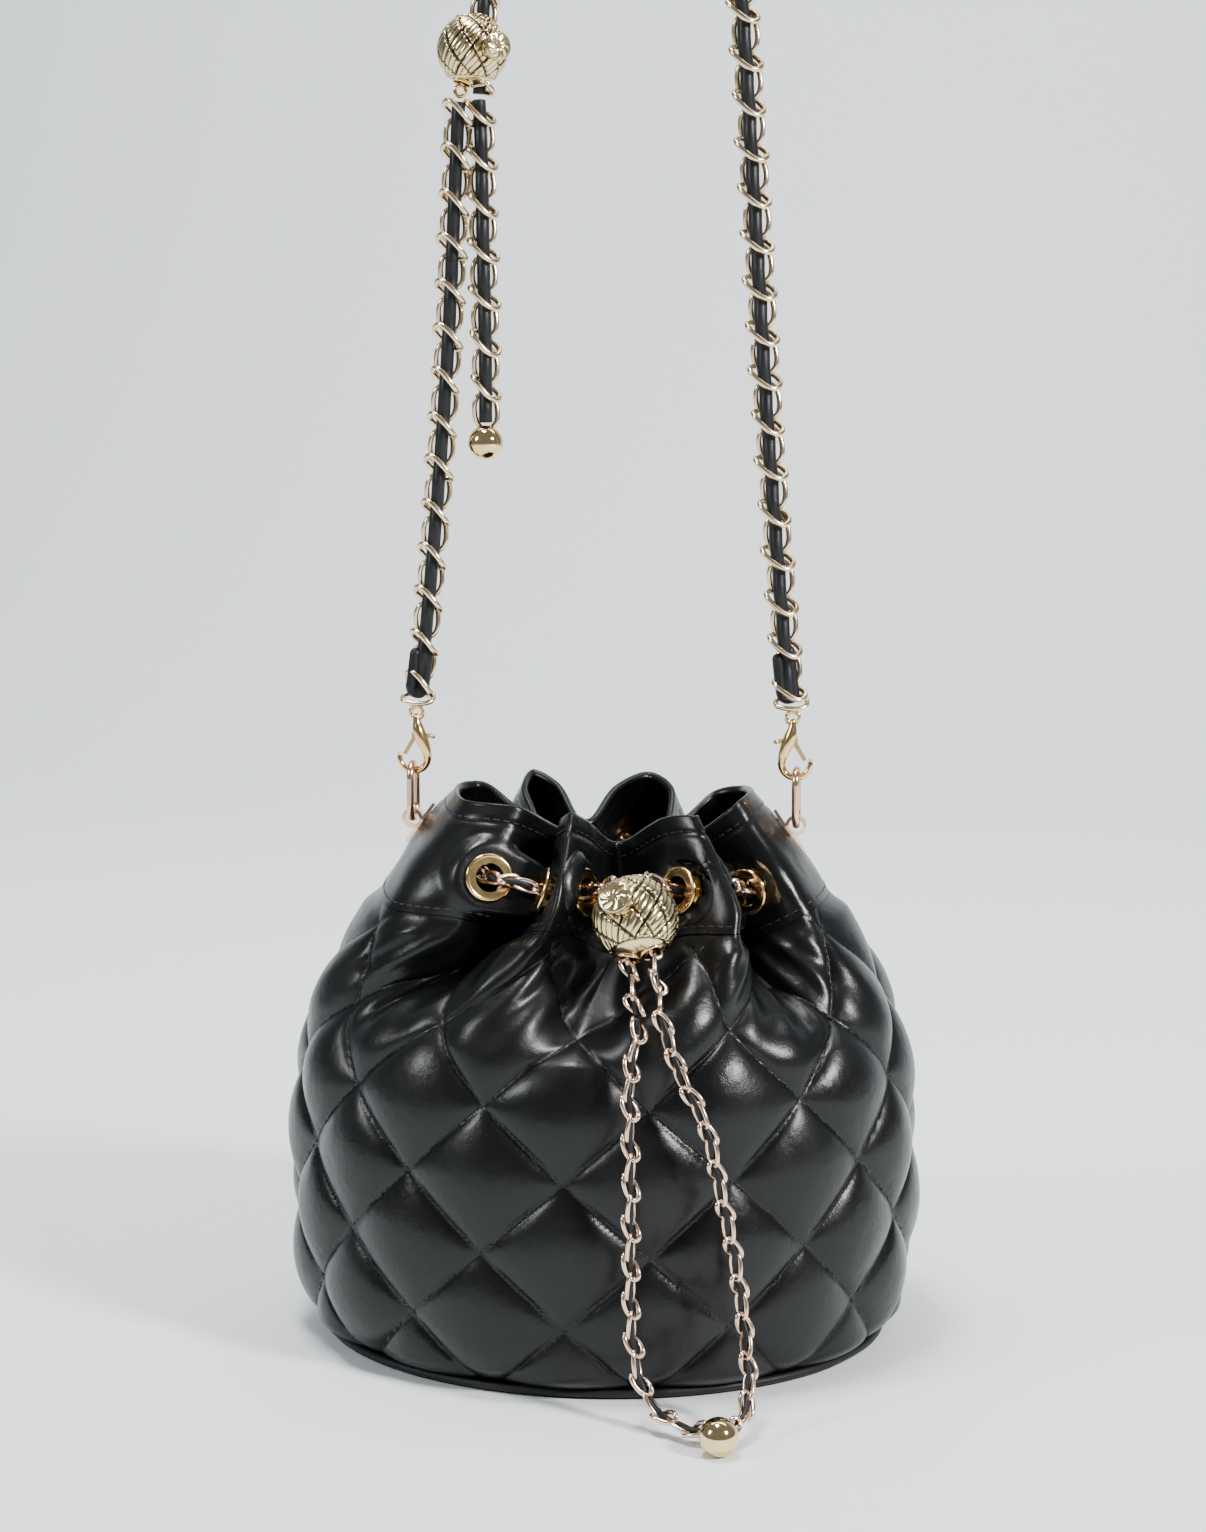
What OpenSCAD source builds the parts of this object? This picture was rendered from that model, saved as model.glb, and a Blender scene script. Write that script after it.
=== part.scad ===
// Small quilted bucket bag with a gathered collar, a chain drawstring with a
// ball cord lock, and a clip-on chain strap with a ball length adjuster.
// Millimetres. Origin at the centre of the base, on the surface it stands on.
// +X is the wearer's right ring, -Y is the front, +Z is up.

/* [Body] */
// Width of the quilted body at its widest
body_w = 190; // [180:1:200]
// Depth of the quilted body at its widest
body_d = 164; // [156:1:172]
// Thickness of the padded quilted wall
shell_t = 2.6; // [2:0.1:3]
// Thickness of the leather base panel
base_t = 2.4; // [1.6:0.1:3]

/* [Collar] */
// Thickness of the outer collar band
band_t = 1.3; // [1:0.1:1.6]
// How strongly the gathered cloth rises at its crowns and dips at its valleys
gather_rise = 1; // [0.9:0.05:1.1]

/* [Eyelets] */
// Outside radius of an eyelet's flange
eyelet_r = 7.2; // [6.8:0.1:7.4]
// Radius of an eyelet's hole
eyelet_hole_r = 4.3; // [4:0.1:4.5]

/* [Cord lock] */
// Radius of the cord lock's ball
ball_r = 12.4; // [12.2:0.1:13]
// Travel of the cord lock's button
press = 3; // [1:0.5:3]
// Size of the strap adjuster against the cord lock
adjuster_scale = 0.86; // [0.8:0.01:0.9]

/* [Rings and clasps] */
// Wire radius of the side rings
ring_wire_r = 1.15; // [1:0.05:1.2]
// Thickness of a clasp's body
clasp_t = 3.2; // [3:0.1:3.6]
// Radius of the end balls
end_ball_r = 5.4; // [5:0.1:6]

/* [Hidden] */

LEATHER = [0.045, 0.047, 0.05];
LINING = [0.10, 0.10, 0.11];
GOLD = [0.83, 0.66, 0.38];
ROSE = [0.80, 0.52, 0.36];

// ---------------------------------------------------------------- the band
// The cloth round the bag, measured along its edge from the front centre:
// [length along the band, gathered x, gathered distance in front of the axis,
//  how much higher than its level the gathered cloth rides there].
// Even rows of 18 are valleys, eyelets and crowns by turns.
BAND = [
    [0, 9, 20, -13], [18, 28, 39.5, -3.5], [36, 43.5, 47, -1.5], [54, 41, 33, -4],
    [72, 35, 8, -13], [90, 46, 17.5, -7], [114, 57.5, 20, 0], [139, 61.6, -1, 2],
    [164, 56, -23, 1], [188, 42, -31, -2], [206, 28, -20, -10], [224, 25, -40, -1.5],
    [242, 12, -53, 2], [260, -1, -39, -1.5], [278, -10, -17, -10], [296, -24, -38, -1],
    [314, -37, -45, 3], [332, -39, -29, -1], [350, -31, -9, -9], [368, -49, -16, 0],
    [392, -58, -12, 2], [417, -61, 3, 2], [442, -51, 37, 1], [466, -28, 42, -0.5],
    [484, -14, 20, -9], [502, -11.5, 42, -4], [520, -5, 55, -0.5], [538, 0.5, 43, -4]];
BAND_LEN = 556;
BAND_N = len(BAND);
EYELET_AT = [23, 25, 27, 1, 3, 5, 9, 11, 13, 15, 17, 19];
SUB = 3;

// Levels of the quilted body and of the collar:
// [height, width share, how far gathered, spread of the gathered outline]
BODY_LEVELS = [
    [base_t, 0.905, 0, 1], [6, 0.94, 0, 1], [15, 0.97, 0, 1],
    [32, 0.993, 0, 1], [50, 1, 0, 1], [68, 0.995, 0, 1], [84, 0.978, 0, 1],
    [97, 0.952, 0.04, 1.3], [107, 0.92, 0.16, 1.3], [116, 0.885, 0.38, 1.25],
    [125, 0.845, 0.64, 1.18], [134, 0.80, 0.86, 1.11]];
COLLAR_LEVELS = [
    [134.2, 0.80, 0.86, 1.11], [140, 0.77, 0.97, 1.06], [146, 0.75, 1, 1],
    [152, 0.7, 1, 0.92], [158, 0.7, 1, 0.84], [165, 0.7, 1, 0.75]];
EYELET_LEVEL = COLLAR_LEVELS[2];
RISE_FROM = 97;
RISE_TO = 134;

function unit(v) = v / norm(v);
function wrap(i, n) = (i % n + n) % n;
function spline(a, b, c, d, t) =
    0.5 * (2 * b + (c - a) * t + (2 * a - 5 * b + 4 * c - d) * t * t
           + (3 * b - a - 3 * c + d) * t * t * t);

// The place of one of BAND's points at a level.
function plan(i, level) =
    let (a = BAND[i][0] / BAND_LEN * 360, f = level[1] / 2, g = level[2],
         rise = gather_rise * min(1, max(0, (level[0] - RISE_FROM) / (RISE_TO - RISE_FROM))),
         flat = (1 - g) * [body_w * f * sin(a), -body_d * f * cos(a)]
                + g * level[3] * [BAND[i][1], -BAND[i][2]])
    [flat.x, flat.y, level[0] + rise * BAND[i][3]];

function outline(level) = [
    for (i = [0:BAND_N - 1], j = [0:SUB - 1])
        spline(plan(wrap(i - 1, BAND_N), level), plan(i, level),
               plan(wrap(i + 1, BAND_N), level), plan(wrap(i + 2, BAND_N), level),
               j / SUB)];

// The outline moved outwards by a distance, or inwards if it is negative.
function shifted(pts, by) =
    let (n = len(pts))
    [for (i = [0:n - 1])
        let (d = pts[wrap(i + 1, n)] - pts[wrap(i - 1, n)], t = unit([d.x, d.y]))
        pts[i] + by * [t.y, -t.x, 0]];

// A closed wall between two offsets of the outline, through the given levels.
module wall(levels, outer, inner) {
    n = BAND_N * SUB;
    m = len(levels);
    points = concat([for (l = levels) each shifted(outline(l), outer)],
                    [for (l = levels) each shifted(outline(l), inner)]);
    in = m * n;
    faces = concat(
        [for (j = [0:m - 2], i = [0:n - 1])
            let (a = j * n + i, b = j * n + wrap(i + 1, n)) [a, a + n, b + n, b]],
        [for (j = [0:m - 2], i = [0:n - 1])
            let (a = in + j * n + i, b = in + j * n + wrap(i + 1, n)) [a, b, b + n, a + n]],
        [for (i = [0:n - 1])
            let (a = i, b = wrap(i + 1, n)) [a, b, in + b, in + a]],
        [for (i = [0:n - 1])
            let (a = (m - 1) * n + i, b = (m - 1) * n + wrap(i + 1, n))
            [a, in + a, in + b, b]]);
    polyhedron(points, faces, convexity = 12);
}

module floor_plate(level, by, z, t) {
    translate([0, 0, z]) linear_extrude(t)
        polygon([for (p = shifted(outline(level), by)) [p.x, p.y]]);
}

// ------------------------------------------------------------- soft panels
board_t = 2;
lining_t = 0.8;
lining_gap = 0.2;
BODY_SPARSE = [for (i = [1, 3, 5, 7, 8, 9, 10, 11]) BODY_LEVELS[i]];

module base_panel() {
    color(LEATHER) floor_plate(BODY_LEVELS[0], 0, 0, base_t - 0.1);
}

module base_board() {
    color(LINING) floor_plate(BODY_LEVELS[0], -shell_t - 1.2, base_t + 0.2, board_t);
}

module quilted_shell() {
    color(LEATHER) wall(BODY_LEVELS, 0, -shell_t);
}

module lining() {
    outer = -shell_t - lining_gap;
    color(LINING) {
        wall(BODY_SPARSE, outer, outer - lining_t);
        floor_plate(BODY_LEVELS[1], outer - 0.3, BODY_LEVELS[1][0] + 0.05, lining_t);
    }
}

module collar_band() {
    color(LEATHER) difference() {
        wall(COLLAR_LEVELS, 0, -band_t);
        for (i = EYELET_AT) at_eyelet(i) eyelet_seat();
    }
}

module collar_facing() {
    inner = -band_t - 0.2;
    color(LEATHER) difference() {
        wall(COLLAR_LEVELS, inner, inner - 0.9);
        for (i = EYELET_AT) at_eyelet(i) eyelet_seat();
    }
}

// What an eyelet presses flat out of the band and its facing.
module eyelet_seat() {
    cylinder(r = barrel_r + 0.1, h = 9, center = true, $fn = 24);
    translate([0, 0, 0.04]) cylinder(r = eyelet_r + 0.1, h = 3, $fn = 24);
    translate([0, 0, -stack_t - 3.6]) cylinder(r = eyelet_r - 0.5, h = 3.6 + washer_gap, $fn = 24);
}

// ----------------------------------------------------------------- eyelets
barrel_r = eyelet_hole_r + 0.6;
flange_t = 1.3;
stack_t = 2.6;
washer_gap = 0.1;

function eyelet_axis(i) =
    let (a = plan(wrap(i - 1, BAND_N), EYELET_LEVEL), b = plan(wrap(i + 1, BAND_N), EYELET_LEVEL),
         along = unit([b.x - a.x, b.y - a.y, 0]),
         up = unit(plan(i, COLLAR_LEVELS[3]) - plan(i, COLLAR_LEVELS[1])))
    unit(cross(along, up));
function eyelet_centre(i) = plan(i, EYELET_LEVEL);

// Puts its children with +Z along z and +Y near y, at o.
module place(o, z, y) {
    x = unit(cross(y, z));
    v = cross(z, x);
    multmatrix([[x.x, v.x, z.x, o.x], [x.y, v.y, z.y, o.y], [x.z, v.z, z.z, o.z]]) children();
}

module at_eyelet(i) {
    place(eyelet_centre(i), eyelet_axis(i), [0, 0, 1]) children();
}

module eyelet(i) {
    color(GOLD) at_eyelet(i) rotate_extrude($fn = 48) {
        translate([eyelet_hole_r, -stack_t - 0.8]) square([barrel_r - eyelet_hole_r, stack_t + 0.9]);
        translate([eyelet_hole_r, 0.05]) square([eyelet_r - 0.7 - eyelet_hole_r, flange_t]);
        translate([eyelet_r - 0.7, 0.75]) circle(r = 0.7, $fn = 24);
    }
}

module eyelet_washers() {
    color(GOLD) for (i = EYELET_AT) at_eyelet(i)
        translate([0, 0, -stack_t - 0.7]) difference() {
            cylinder(r = eyelet_r - 0.6, h = 0.7, $fn = 48);
            translate([0, 0, -1]) cylinder(r = barrel_r + 0.05, h = 3, $fn = 48);
        }
}

// ------------------------------------------------------ side rings and mounts
// The bridge is a bent diamond of plate on the collar, and the ring hangs in it.
SIDE_X = 59.4;
SIDE_Z = 157;
ring_end_r = 4.4;
ring_straight = 8.2;
bridge_w = 4.6;
bridge_slope = 36;
bridge_t = 1;
bridge_play = 1.05;

module ring_shape(end_r, straight, wire_r) {
    for (s = [0, 1]) mirror([0, 0, s]) translate([0, 0, straight / 2])
        rotate([90, 0, 90]) rotate_extrude(angle = 180, $fn = 48)
            translate([end_r, 0]) circle(r = wire_r, $fn = 24);
    for (y = [-end_r, end_r]) translate([0, y, -straight / 2])
        cylinder(r = wire_r, h = straight, $fn = 24);
}

module ring(side) {
    color(ROSE) translate([side * SIDE_X, 0, SIDE_Z + ring_end_r + ring_straight / 2])
        ring_shape(ring_end_r, ring_straight, ring_wire_r);
}

// The plate's outline in the plane of x and z, at the right side.
module bridge_profile() {
    inner = ring_wire_r + bridge_play;
    difference() {
        union() {
            circle(r = inner + bridge_t, $fn = 40);
            translate([-inner - bridge_t, -7.5]) square([bridge_t, 15]);
        }
        circle(r = inner, $fn = 40);
    }
}

module bridge(side) {
    color(ROSE) intersection() {
        scale_side(side) translate([SIDE_X, 0, SIDE_Z]) rotate([90, -bridge_slope, 0])
            linear_extrude(bridge_w * 2, center = true) bridge_profile();
        scale_side(side) translate([SIDE_X, 0, SIDE_Z]) rotate([0, -bridge_slope, 0])
            rotate([0, 90, 0]) linear_extrude(20, center = true)
                polygon([[-7.6, -0.4], [-1.6, -bridge_w / 2], [1.6, -bridge_w / 2], [7.6, -0.4],
                         [7.6, 0.4], [1.6, bridge_w / 2], [-1.6, bridge_w / 2], [-7.6, 0.4]]);
    }
}

module scale_side(side) {
    if (side > 0) children();
    else mirror([1, 0, 0]) children();
}

module bridge_rivets() {
    color(ROSE) for (side = [-1, 1], z = [-4.6, 4.6])
        scale_side(side) translate([SIDE_X, 0, SIDE_Z]) rotate([0, -bridge_slope, 0])
            translate([-ring_wire_r - bridge_play - bridge_t - 0.05, 0, z]) rotate([0, -90, 0]) {
                cylinder(r = 0.7, h = 5.4, $fn = 24);
                translate([0, 0, 4.9]) cylinder(r = 1.7, h = 0.7, $fn = 24);
            }
}

// ------------------------------------------------------------------ clasps
// Drawn for the left clasp, in the plane of x and z, with the middle of the
// hook's lowest wire at the origin. The right clasp is its mirror image.
HOOK_Z = SIDE_Z + 2 * ring_end_r + ring_straight - ring_wire_r - 1.1 - 0.3;
hook_wire_r = 1.1;
hook_r = 4.3;
clasp_lean = 4;
PIN = [0.4, 11.4];
pin_r = 0.6;

module at_clasp(side) {
    scale_side(side > 0 ? -1 : 1)
        translate([-SIDE_X, 0, HOOK_Z]) rotate([0, clasp_lean, 0]) rotate([90, 0, 0]) children();
}

module clasp_profile() {
    difference() {
        union() {
            translate([0, hook_r]) circle(r = hook_r + hook_wire_r, $fn = 48);
            hull() {
                translate([3.2, 6.2]) circle(r = 2.0, $fn = 32);
                translate([0.6, 11]) circle(r = 2.9, $fn = 32);
            }
            hull() {
                translate([0.6, 11]) circle(r = 2.9, $fn = 32);
                translate([0, 16]) circle(r = 1.3, $fn = 32);
            }
        }
        translate([-0.4, hook_r]) circle(r = hook_r - hook_wire_r + 0.2, $fn = 48);
        hull() {
            translate([-0.5, hook_r]) circle(r = 2.6, $fn = 32);
            translate([-1.1, 8.2]) circle(r = 0.9, $fn = 32);
        }
        translate([-9, 5.2]) square([7.6, 4.6]);
    }
}

module clasp(side) {
    color(GOLD) at_clasp(side) {
        difference() {
            linear_extrude(clasp_t, center = true) clasp_profile();
            linear_extrude(1.5, center = true) translate([-4, 6.6]) square([10, 6.9]);
            translate([PIN.x, PIN.y]) cylinder(r = pin_r + 0.03, h = 9, center = true, $fn = 24);
        }
        translate([0, 18.4, 0]) rotate_extrude($fn = 40)
            translate([1.9, 0]) circle(r = 0.7, $fn = 20);
    }
}

module clasp_lever(side) {
    color(GOLD) at_clasp(side) difference() {
        union() {
            linear_extrude(1.2, center = true) union() {
                translate(PIN) circle(r = 1.5, $fn = 32);
                polygon([[-0.8, 10.9], [-3.5, 5.4], [-2.3, 5.0], [0.2, 9.9]]);
                polygon([[0.6, 10.2], [5.2, 11.0], [5.2, 12.0], [0.6, 12.6]]);
            }
            translate([5.5, 11.5, 0]) sphere(r = 0.9, $fn = 24);
        }
        translate([PIN.x, PIN.y]) cylinder(r = pin_r + 0.05, h = 9, center = true, $fn = 24);
    }
}

module clasp_pin(side) {
    color(GOLD) at_clasp(side) translate([PIN.x, PIN.y])
        cylinder(r = pin_r, h = clasp_t, center = true, $fn = 24);
}

module clasp_spring(side) {
    color(GOLD) at_clasp(side) translate([1.7, 12.6, 0]) rotate([-90, 0, 0]) difference() {
        cylinder(r = 0.5, h = 0.8, $fn = 20);
        translate([0, 0, -1]) cylinder(r = 0.3, h = 4, $fn = 20);
    }
}

// ----------------------------------------------------- ball locks, in their own frame
// The strands run along Z, 3.6 either side of the middle, and the button faces -Y.
strand_x = 3.6;
bore_r = 3;
lock_block = [6.8, 3];
block_back = 4.6;
window = 3.2;
block_hole = 6.4;

module lock_body() {
    difference() {
        rotate([90, 0, 90]) sphere(r = ball_r, $fn = 64);
        for (x = [-strand_x, strand_x]) translate([x, 0, 0])
            cylinder(r = bore_r, h = 40, center = true, $fn = 40);
        translate([-lock_block.x - 0.2, -9, -lock_block.y - 0.2])
            cube([2 * lock_block.x + 0.4, 17.4, 2 * lock_block.y + 0.4]);
        rotate([90, 0, 0]) cylinder(r = 3.6, h = 30, $fn = 40);
    }
}

module lock_button() {
    difference() {
        union() {
            translate([-lock_block.x, -8.4, -lock_block.y])
                cube([2 * lock_block.x, 8.4 + block_back, 2 * lock_block.y]);
            translate([0, -8.4, 0]) rotate([90, 0, 0]) cylinder(r = 3.4, h = 8, $fn = 40);
            translate([0, -15.6, 0]) rotate([90, 0, 0]) cylinder(r1 = 3.6, r2 = 4.9, h = 1.6, $fn = 48);
            translate([0, -17.2, 0]) rotate([90, 0, 0]) cylinder(r = 4.9, h = 0.7, $fn = 48);
        }
        translate([-block_hole, -window - press, -10])
            cube([2 * block_hole, 2 * window + press, 20]);
    }
}

module lock_spring() {
    translate([0, block_back + 0.1, 0]) rotate([-90, 0, 0]) difference() {
        cylinder(r = 2.3, h = 3.4, $fn = 32);
        translate([0, 0, -1]) cylinder(r = 1.7, h = 9, $fn = 32);
    }
}

// ----------------------------------------------------------- swept strands
strand_r = 2;
strap_r = 2.25;

function tangent(p, i) = unit(p[min(i + 1, len(p) - 1)] - p[max(i - 1, 0)]);
function sides_of(p, i, u) =
    i >= len(p) ? [] :
    let (t = tangent(p, i), v = unit(u - (u * t) * t))
    concat([[v, cross(t, v)]], sides_of(p, i + 1, v));

// A round tube along the points of a path, whose two ends narrow to a tip.
module tube(path, r, tip = [1, 1]) {
    n = 8;
    m = len(path);
    s = sides_of(path, 0, [0.31, 0.83, 0.47]);
    points = [for (j = [0:m - 1], i = [0:n - 1])
        let (k = j == 0 ? tip[0] : (j == m - 1 ? tip[1] : 1), a = i * 360 / n)
        path[j] + r * k * (cos(a) * s[j][0] + sin(a) * s[j][1])];
    faces = concat(
        [for (j = [0:m - 2], i = [0:n - 1])
            let (a = j * n + i, b = j * n + (i + 1) % n) [a, a + n, b + n, b]],
        [[for (i = [0:n - 1]) i]],
        [[for (i = [n - 1:-1:0]) (m - 1) * n + i]]);
    polyhedron(points, faces, convexity = 8);
}

// Points along a smooth curve through the given ones.
function smooth(p, sub) = concat(
    [for (i = [0:len(p) - 2], j = [0:sub - 1])
        spline(p[max(i - 1, 0)], p[i], p[i + 1], p[min(i + 2, len(p) - 1)], j / sub)],
    [p[len(p) - 1]]);

// --------------------------------------------------------------- drawstring
LOCK_AT = [18, -62, 138];
LOCK_DOWN = unit([0.2, -0.54, -0.82]);
LOCK_FACE = unit([-0.21, -0.87, 0.45]);
LOCK_Y = -unit(LOCK_FACE - (LOCK_FACE * LOCK_DOWN) * LOCK_DOWN);
LOCK_X = unit(cross(LOCK_Y, -LOCK_DOWN));
lock_clear = 13.5;
straight_to = 29;

// How the drawstring goes through an eyelet: +1 outwards, -1 inwards.
function through(i, way) =
    let (c = eyelet_centre(i), n = eyelet_axis(i)) [c - way * 5.2 * n, c + way * 3.8 * n];

function at_lock(side, down) = LOCK_AT + side * strand_x * LOCK_X + down * LOCK_DOWN;
SEEN = LOCK_X.x > 0 ? 1 : -1;

// From the left strand's lower end, round the collar, to the right strand's.
COLLAR_ORDER = [27, 25, 23, 19, 17, 15, 13, 11, 9, 5, 3, 1];
COLLAR_PATH = concat(
    [for (d = [straight_to, straight_to - 2, lock_clear, -lock_clear]) at_lock(-SEEN, d)],
    [for (k = [0:11]) each through(COLLAR_ORDER[k], k % 2 == 0 ? -1 : 1)],
    [for (d = [-lock_clear, lock_clear, straight_to - 2, straight_to]) at_lock(SEEN, d)]);

LOOP_LEFT = [[19.5, -85, 98], [20, -89, 84], [20.5, -91, 64], [20.5, -91.5, 44],
             [21, -92, 27], [24, -95, 13], [30, -99, 6], [38, -104, 4]];
LOOP_RIGHT = [[53, -101, 7], [54, -94, 12], [52.5, -87.5, 24], [49.5, -85, 44],
              [45.5, -86, 64], [41, -86.5, 84], [33.5, -83.5, 98]];
LOOP_PATH = concat(
    [for (d = [straight_to + 1.4, straight_to + 4]) at_lock(-SEEN, d)],
    LOOP_LEFT, [[47, -108, 5], [51, -106, 5.5]], LOOP_RIGHT,
    [for (d = [straight_to + 4, straight_to + 1.4]) at_lock(SEEN, d)]);
END_BALL_AT = [47.5, -112.5, end_ball_r];

module at_cord_lock() {
    place(LOCK_AT, -LOCK_DOWN, LOCK_Y) children();
}

module drawstring_collar() {
    color(GOLD) tube(COLLAR_PATH, strand_r, [0.35, 0.35]);
}

module drawstring_loop() {
    color(GOLD) tube(LOOP_PATH, strand_r, [0.35, 0.35]);
}

module end_ball(o) {
    color(GOLD) translate(o) sphere(r = end_ball_r, $fn = 48);
}

// -------------------------------------------------------------------- strap
ADJUSTER_AT = [-39.4, 0, 389];
ADJUSTER_UP = unit([0.06, 0, 1]);
ADJUSTER_Y = unit([-0.62, 0.72, -0.12]);
adjuster_half = ball_r * adjuster_scale;
SHORT_PATH = smooth([[-57.6, 0, 195], [-55.6, 0, 210], [-51.6, 0, 250], [-47.6, 0, 300],
                     [-45.2, 0, 345], [-44, 0, 369], [-43.6, 0, 374]], 2);
LONG_PATH = smooth([[-37.8, 2, 376.4], [-37, 2, 389], [-36, 2, 405], [-32.6, 1.4, 422], [-24.6, 0.6, 437],
                    [-12, 0, 446], [1, 0, 449], [15, 0, 446], [28, 0, 438], [37, 0, 424],
                    [41, 0, 404], [45.6, 0, 340], [50, 0, 275], [55.6, 0, 210],
                    [57.6, 0, 195]], 2);
TAIL_PATH = smooth([[-37.9, 2, 374.6], [-37.2, 1.6, 360], [-36.6, 0.6, 330], [-36, 0, 300],
                    [-36, 0, 278.6]], 1);
TAIL_BALL_AT = [-36, 0, 272.4];

module at_adjuster() {
    place(ADJUSTER_AT, ADJUSTER_UP, ADJUSTER_Y) scale(adjuster_scale) children();
}

module adjuster_eye() {
    color(GOLD) translate([-43.2, 0, 377.2]) rotate([90, 0, 0]) rotate_extrude($fn = 40)
        translate([1.6, 0]) circle(r = 0.6, $fn = 20);
}

// -------------------------------------------------------------------- build
base_panel();
base_board();
quilted_shell();
lining();
collar_band();
collar_facing();
for (k = [1:12]) eyelet(EYELET_AT[k - 1]);
eyelet_washers();
bridge(-1);  // bridge_left
bridge(1);  // bridge_right
bridge_rivets();
ring(-1);  // ring_left
ring(1);  // ring_right
clasp(-1);  // clasp_left
clasp_lever(-1);  // clasp_left_lever
clasp_pin(-1);  // clasp_left_pin
clasp_spring(-1);  // clasp_left_spring
clasp(1);  // clasp_right
clasp_lever(1);  // clasp_right_lever
clasp_pin(1);  // clasp_right_pin
clasp_spring(1);  // clasp_right_spring
color(GOLD) tube(SHORT_PATH, strap_r, [0.3, 0.3]);  // strap_short_strand
color(GOLD) tube(LONG_PATH, strap_r, [0.8, 0.3]);  // strap_long_strand
color(GOLD) tube(TAIL_PATH, strap_r, [0.3, 0.3]);  // strap_tail
end_ball(TAIL_BALL_AT);  // tail_end_ball
color(GOLD) at_adjuster() lock_body();  // adjuster_body
color(GOLD) at_adjuster() lock_button();  // adjuster_button
color(GOLD) at_adjuster() lock_spring();  // adjuster_spring
adjuster_eye();
color(GOLD) at_cord_lock() lock_body();  // cord_lock_body
color(GOLD) at_cord_lock() lock_button();  // cord_lock_button
color(GOLD) at_cord_lock() lock_spring();  // cord_lock_spring
drawstring_collar();
drawstring_loop();
end_ball(END_BALL_AT);  // drawstring_end_ball
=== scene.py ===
"""Looks of the quilted bucket bag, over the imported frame. Metres, in the row frame."""

import math
import random

import bpy
import numpy as np
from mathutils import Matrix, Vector


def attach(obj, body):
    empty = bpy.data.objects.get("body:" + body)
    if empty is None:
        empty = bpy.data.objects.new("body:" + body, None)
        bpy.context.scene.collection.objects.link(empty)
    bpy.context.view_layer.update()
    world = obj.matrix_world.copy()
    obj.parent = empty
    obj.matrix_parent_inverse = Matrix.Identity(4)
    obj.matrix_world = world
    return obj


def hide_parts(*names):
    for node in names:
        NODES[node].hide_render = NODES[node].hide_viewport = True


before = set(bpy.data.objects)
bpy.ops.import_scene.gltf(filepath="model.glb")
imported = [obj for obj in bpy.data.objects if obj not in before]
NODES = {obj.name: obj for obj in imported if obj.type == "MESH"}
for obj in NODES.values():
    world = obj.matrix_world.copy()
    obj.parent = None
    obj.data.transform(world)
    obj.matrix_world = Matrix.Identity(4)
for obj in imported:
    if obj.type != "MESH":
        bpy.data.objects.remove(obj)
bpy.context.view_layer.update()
MM = 0.001

# ------------------------------------------------------------------- camera
AZIMUTH = math.radians(8)
PITCH = math.radians(7)
DISTANCE = 0.822
EYE_HEIGHT = 0.275
FOCAL = 63.45

cam_data = bpy.data.cameras.new("camera")
cam_data.lens = FOCAL
cam_data.sensor_width = 36
cam = bpy.data.objects.new("camera", cam_data)
cam.location = (DISTANCE * math.sin(AZIMUTH), -DISTANCE * math.cos(AZIMUTH), EYE_HEIGHT)
cam.rotation_euler = (math.pi / 2 - PITCH, 0, AZIMUTH)
bpy.context.scene.collection.objects.link(cam)
bpy.context.scene.camera = cam


# -------------------------------------------------------------- small helpers
def unit(v):
    v = np.asarray(v, float)
    return v / np.linalg.norm(v)


def smoothstep(a, b, x):
    t = np.clip((np.asarray(x, float) - a) / (b - a), 0, 1)
    return t * t * (3 - 2 * t)


def link_mesh(name, verts, faces, material, body=None):
    me = bpy.data.meshes.new(name)
    me.from_pydata([tuple(float(c) for c in v) for v in verts], [], faces)
    me.update()
    me.polygons.foreach_set("use_smooth", [True] * len(me.polygons))
    ob = bpy.data.objects.new(name, me)
    bpy.context.scene.collection.objects.link(ob)
    me.materials.append(material)
    if body:
        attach(ob, body)
    return ob


def catmull(p, u, closed):
    """Rows of p at real index u, on a Catmull-Rom curve."""
    p = np.asarray(p, float)
    n = len(p)
    u = np.asarray(u, float)
    i = np.floor(u).astype(int)
    if not closed:
        i = np.clip(i, 0, n - 2)
    t = (u - i)[..., None]
    if closed:
        a, b, c, d = (p[(i + k) % n] for k in (-1, 0, 1, 2))
    else:
        a, b, c, d = (p[np.clip(i + k, 0, n - 1)] for k in (-1, 0, 1, 2))
    return 0.5 * (2 * b + (c - a) * t + (2 * a - 5 * b + 4 * c - d) * t**2
                  + (3 * b - a - 3 * c + d) * t**3)


def resample(path, step):
    """Points every step along a polyline, with the length it has."""
    p = np.asarray(path, float)
    d = np.r_[0, np.cumsum(np.linalg.norm(np.diff(p, axis=0), axis=1))]
    n = max(2, int(round(d[-1] / step)) + 1)
    s = np.linspace(0, d[-1], n)
    return np.column_stack([np.interp(s, d, p[:, k]) for k in range(3)]), d[-1]


def soften(path, rounds):
    """Rounds a polyline's corners, keeping its ends."""
    p = np.asarray(path, float)
    for _ in range(rounds):
        q = [p[0]]
        for a, b in zip(p[:-1], p[1:]):
            q += [0.75 * a + 0.25 * b, 0.25 * a + 0.75 * b]
        q.append(p[-1])
        p = np.array(q)
    return p


def curve_frames(p, up):
    """Tangent, normal and binormal at each point, carried along without twist."""
    t = np.gradient(p, axis=0)
    t /= np.linalg.norm(t, axis=1)[:, None]
    n = np.zeros_like(t)
    u = np.asarray(up, float)
    for k in range(len(p)):
        u = u - (u @ t[k]) * t[k]
        u /= np.linalg.norm(u)
        n[k] = u
    return t, n, np.cross(t, n)


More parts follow.
